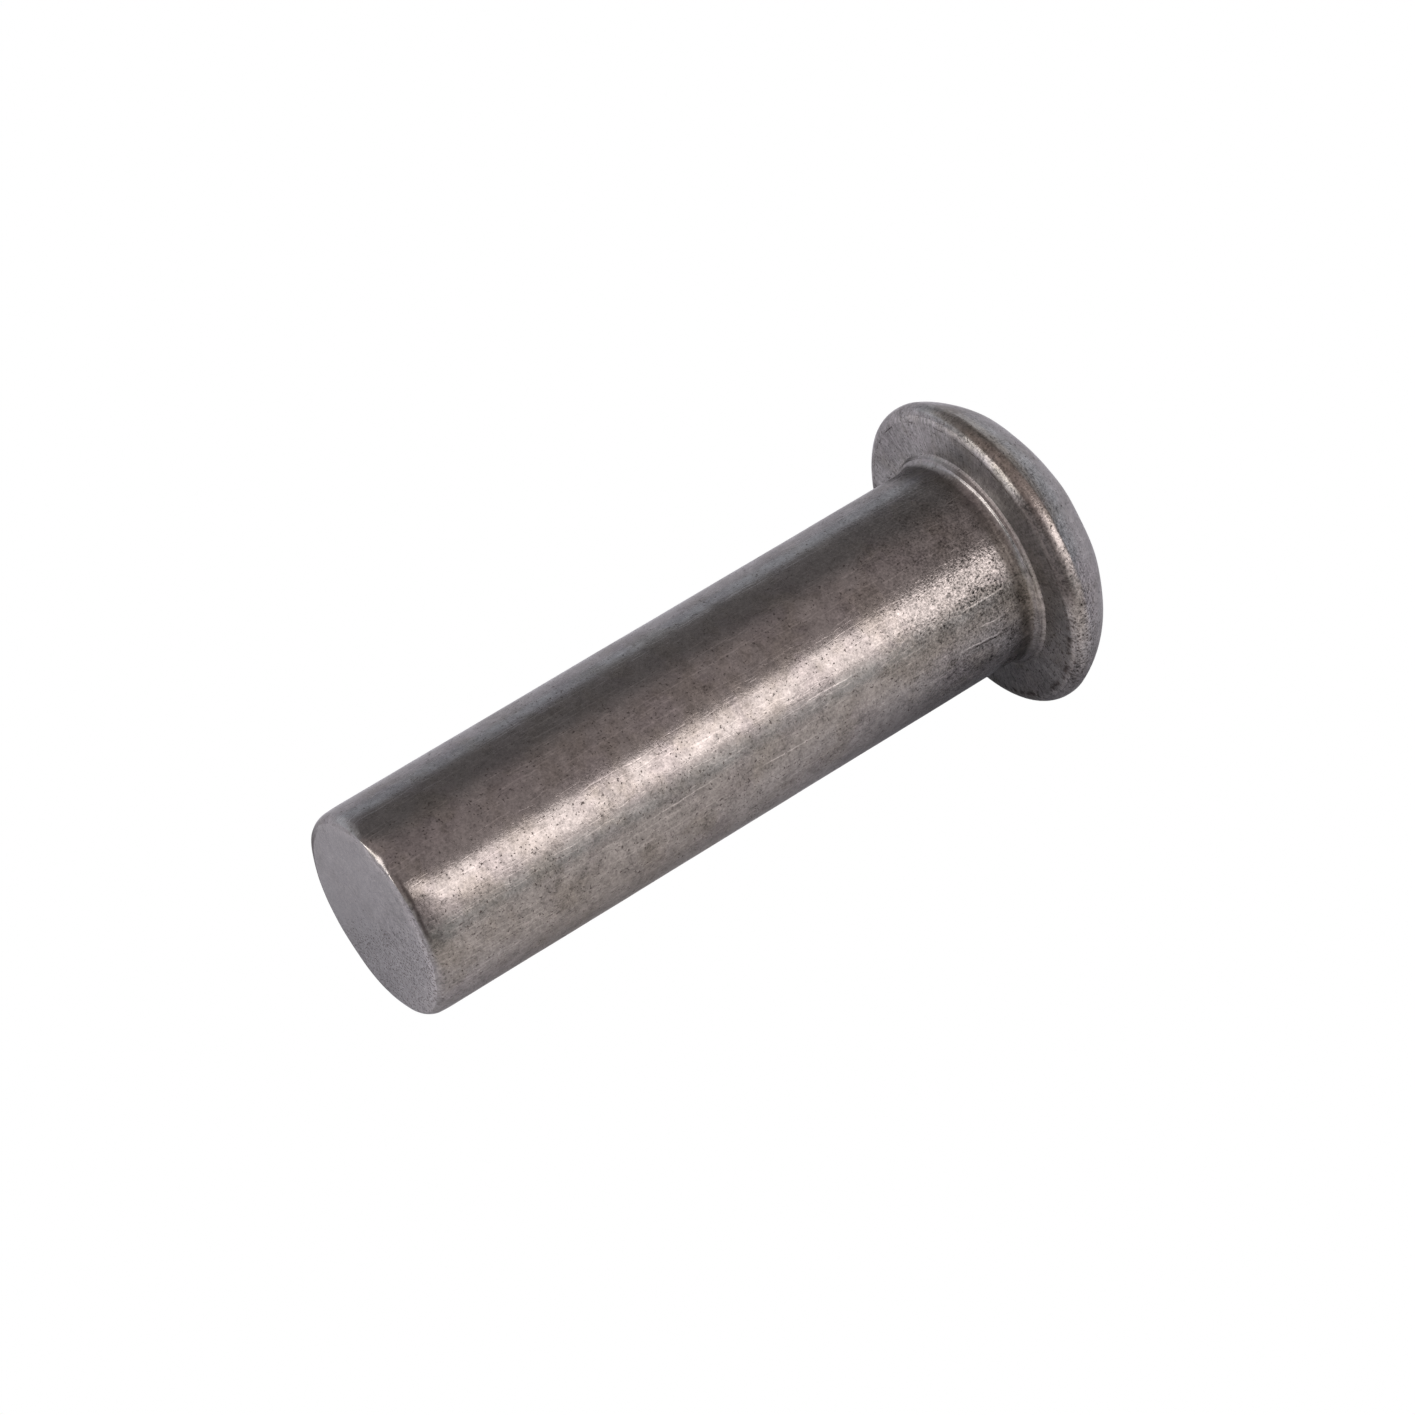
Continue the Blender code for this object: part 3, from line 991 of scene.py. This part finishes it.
def white_paper(look):
    """Matt white paper that glows with painted light: bluish behind the rivet and beside its tail, warm
    in front of it where the key light falls, and darker in a painted shadow round the rivet.
    """
    material, tree, surface = new_material("white_paper")
    place = add(tree, "ShaderNodeTexCoord").outputs["Object"]
    parts = add(tree, "ShaderNodeSeparateXYZ", [(0, place)])
    right = add(tree, "ShaderNodeMapRange", [
        ("Value", parts.outputs["X"]), ("From Min", WARM_RIGHT[0]), ("From Max", WARM_RIGHT[1]),
    ], interpolation_type="SMOOTHSTEP").outputs["Result"]
    warm = add(tree, "ShaderNodeMapRange", [
        ("Value", parts.outputs["Y"]), ("From Min", WARM_DOWN[0]), ("From Max", WARM_DOWN[1]),
        ("To Max", right),
    ], interpolation_type="SMOOTHSTEP").outputs["Result"]
    # Painted light on the paper: warm in front where the key light falls, bluish behind
    glow = add(tree, "ShaderNodeMix", [
        (0, warm), (6, (*look.cool_paper, 1.0)), (7, (*look.warm_paper, 1.0)),
    ], data_type="RGBA").outputs[2]
    # Painted shadow on the paper, round where the rivet touches it
    from_contact = add(tree, "ShaderNodeVectorMath", [
        (0, place), (1, PAINTED_SHADOW_MIDDLE),
    ], operation="DISTANCE").outputs["Value"]
    open_share = add(tree, "ShaderNodeMapRange", [
        ("Value", from_contact), ("From Min", PAINTED_SHADOW_REACH[0]), ("From Max", PAINTED_SHADOW_REACH[1]),
        ("To Min", 0.5),
    ], interpolation_type="SMOOTHSTEP").outputs["Result"]
    painted_shadow_colour = add(tree, "ShaderNodeVectorMath", [
        (0, glow), (3, open_share),
    ], operation="SCALE").outputs["Vector"]
    tree.links.new(painted_shadow_colour, surface.inputs["Base Color"])
    tree.links.new(painted_shadow_colour, surface.inputs["Emission Color"])
    surface.inputs["Emission Strength"].default_value = look.paper_glow
    surface.inputs["Roughness"].default_value = 1.0
    surface.inputs["Specular IOR Level"].default_value = 0.0
    return material


def make_paper(context, look):
    """The white paper beside the rivet. Only the steel's reflections show it."""
    outward = level(PAPER_BEARING)
    toward_rivet = math.sin(PAPER_LEAN) * Vector((0.0, 0.0, 1.0)) - math.cos(PAPER_LEAN) * outward
    across = (PHOTO_RIGHT - toward_rivet * PHOTO_RIGHT.dot(toward_rivet)).normalized()
    turn = Matrix((across, toward_rivet.cross(across), toward_rivet)).transposed()
    rim_side = outward * (HEAD_RADIUS + 0.05 * MM) + Vector((0.0, 0.0, SEAT_HEIGHT))
    placed = Matrix.Translation(rim_side) @ turn.to_4x4()
    paper = flat_sheet(context, "paper", PAPER_HALF, white_paper(look), placed)
    paper.visible_camera = False
    return paper


def photo_direction(bearing, rise):
    """A direction from the rivet: right of the camera by bearing, and up in the photo by rise."""
    return CAMERA_TURN @ Vector((
        math.sin(bearing) * math.cos(rise), math.sin(rise), math.cos(bearing) * math.cos(rise),
    ))


def hang_lamp(context, light, placed, piece, state):
    """Hangs a light, and keeps it to one piece of the stage (INCLUDE), or off it (EXCLUDE)."""
    lamp = bpy.data.objects.new(light.name, light)
    lamp.matrix_world = placed
    lamp.visible_camera = False
    context.scene.collection.objects.link(lamp)
    linked = bpy.data.collections.new("linked_to_" + lamp.name)
    linked.objects.link(piece)
    linked.collection_objects[0].light_linking.link_state = state
    lamp.light_linking.receiver_collection = linked


def hang_soft_boxes(context, boxes, piece, state):
    """Soft boxes round the rivet. Their angles are bearing, rise, width and height in degrees."""
    for name, angles, strength, colour in boxes:
        bearing, rise, width, height = [math.radians(angle) for angle in angles]
        light = bpy.data.lights.new(name, "AREA")
        light.shape = "RECTANGLE"
        light.size = 2 * LIGHT_DISTANCE * math.tan(width / 2)
        light.size_y = 2 * LIGHT_DISTANCE * math.tan(height / 2)
        light.energy = strength * math.pi * light.size * light.size_y
        light.color = colour
        direction = photo_direction(bearing, rise)
        side = PHOTO_UP.cross(direction).normalized()
        turn = Matrix((side, direction.cross(side), direction)).transposed()
        place = Vector((0.0, 0.0, TOP / 2)) + direction * LIGHT_DISTANCE
        hang_lamp(context, light, Matrix.Translation(place) @ turn.to_4x4(), piece, state)


def set_world(context, look):
    """White paper on one side, a dim warm room on the other, and clean white behind it all."""
    world = bpy.data.worlds.new("studio")
    world.use_nodes = True
    context.scene.world = world
    tree = world.node_tree
    direction = add(tree, "ShaderNodeTexCoord").outputs["Generated"]
    to_back = add(tree, "ShaderNodeVectorMath", [
        (0, direction), (1, PHOTO_BACK),
    ], operation="DOT_PRODUCT").outputs["Value"]
    paper_side = Vector((math.cos(PAPER_BEARING), math.sin(PAPER_BEARING), -math.sin(PAPER_LEAN)))
    to_paper = add(tree, "ShaderNodeVectorMath", [
        (0, direction), (1, paper_side),
    ], operation="DOT_PRODUCT").outputs["Value"]

    near = add(tree, "ShaderNodeMapRange", [
        ("Value", to_back), ("From Min", 0.1), ("From Max", 0.5),
    ], interpolation_type="SMOOTHSTEP").outputs["Result"]
    room, beyond = [
        add(tree, "ShaderNodeMix", [
            (0, near), (6, (*back, 1.0)), (7, (*front, 1.0)),
        ], data_type="RGBA").outputs[2]
        for back, front in ((look.far_room, look.near_room), (look.cool_paper, look.warm_paper))
    ]
    on_paper = add(tree, "ShaderNodeMapRange", [
        ("Value", to_paper), ("From Min", -0.32), ("From Max", -0.25),
    ], interpolation_type="SMOOTHSTEP").outputs["Result"]
    around = add(tree, "ShaderNodeMix", [
        (0, on_paper), (6, room), (7, beyond),
    ], data_type="RGBA").outputs[2]
    for bearing, rise, reach, gain in WALL_GLOWS:
        toward = add(tree, "ShaderNodeVectorMath", [
            (0, direction), (1, photo_direction(bearing, rise)),
        ], operation="DOT_PRODUCT").outputs["Value"]
        share = add(tree, "ShaderNodeMapRange", [
            ("Value", toward), ("From Min", math.cos(reach)), ("From Max", math.cos(reach / 2)),
        ], interpolation_type="SMOOTHSTEP").outputs["Result"]
        around = add(tree, "ShaderNodeMix", [
            (0, share), (6, around), (7, (gain, gain, 1.04 * gain, 1.0)),
        ], data_type="RGBA", blend_type="ADD").outputs[2]
    seen = add(tree, "ShaderNodeLightPath").outputs["Is Camera Ray"]
    colour = add(tree, "ShaderNodeMix", [
        (0, seen), (6, around), (7, (1.0, 1.0, 1.0, 1.0)),
    ], data_type="RGBA").outputs[2]
    tree.links.new(colour, tree.nodes["Background"].inputs["Color"])


def set_camera(context):
    """The camera where the photograph was taken."""
    data = bpy.data.cameras.new("camera")
    data.lens = CAMERA_LENS_MM
    data.clip_start = 1.0 * MM
    camera = bpy.data.objects.new("camera", data)
    camera.matrix_world = Matrix.Translation(CAMERA_PLACE) @ CAMERA_TURN.to_4x4()
    context.scene.collection.objects.link(camera)
    context.scene.camera = camera


class RIVET_OT_stage(bpy.types.Operator):
    """Sets up the floor, the soft lights, the surroundings and the camera"""

    bl_idname = "rivet.stage"
    bl_label = "Set stage"

    def execute(self, context):
        look = context.scene.rivet_stage
        floor = make_floor(context, look)
        paper = make_paper(context, look)
        hang_soft_boxes(context, (
            ("key_light", (44.0, 9.0, 40.0, 24.0), look.key_strength, look.key),
            ("key_skirt", (48.0, -9.5, 32.0, 16.0), 0.31 * look.key_strength, look.key),
            ("side_light", (-66.0, -1.0, 32.0, 26.0), look.side_strength, look.side),
        ), floor, "EXCLUDE")
        overhead = bpy.data.lights.new("floor_light", "AREA")
        overhead.size = OVERHEAD_SIZE
        overhead.energy = look.floor_strength * math.pi * overhead.size**2
        hang_lamp(context, overhead, Matrix.Translation(OVERHEAD_PLACE), floor, "INCLUDE")
        hang_soft_boxes(context, (
            ("paper_key", (30.0, 28.0, 50.0, 50.0), 0.35, look.key),
            ("paper_side", (-60.0, 20.0, 50.0, 50.0), 0.75, look.fill),
            ("paper_top", (0.0, 46.0, 50.0, 50.0), 1.45, look.side),
        ), paper, "INCLUDE")
        set_world(context, look)
        set_camera(context)
        context.scene.view_settings.view_transform = "Standard"
        return {"FINISHED"}


class RIVET_PT_sidebar(bpy.types.Panel):
    """Sizes, colours and steps of the rivet"""

    bl_label = "Forged rivet"
    bl_idname = "RIVET_PT_sidebar"
    bl_space_type = "VIEW_3D"
    bl_region_type = "UI"
    bl_category = "Rivet"

    def draw(self, context):
        layout = self.layout
        for group in SETTINGS:
            settings = getattr(context.scene, group)
            for name in settings.bl_rna.properties.keys():
                if name not in ("name", "rna_type"):
                    layout.prop(settings, name)
        for operator in (RIVET_OT_forge, RIVET_OT_stage):
            layout.operator(operator.bl_idname)


SETTINGS = {"rivet_sizes": RivetSizes, "rivet_steel": SteelLook, "rivet_stage": StageLook}
CLASSES = (RivetSizes, SteelLook, StageLook, RIVET_OT_forge, RIVET_OT_stage, RIVET_PT_sidebar)


def register():
    for item in CLASSES:
        bpy.utils.register_class(item)
    for name, group in SETTINGS.items():
        setattr(bpy.types.Scene, name, PointerProperty(type=group))


def unregister():
    for name in SETTINGS:
        delattr(bpy.types.Scene, name)
    for item in reversed(CLASSES):
        bpy.utils.unregister_class(item)


def main():
    register()
    bpy.ops.rivet.stage()
    bpy.ops.rivet.forge()


if __name__ == "__main__":
    main()
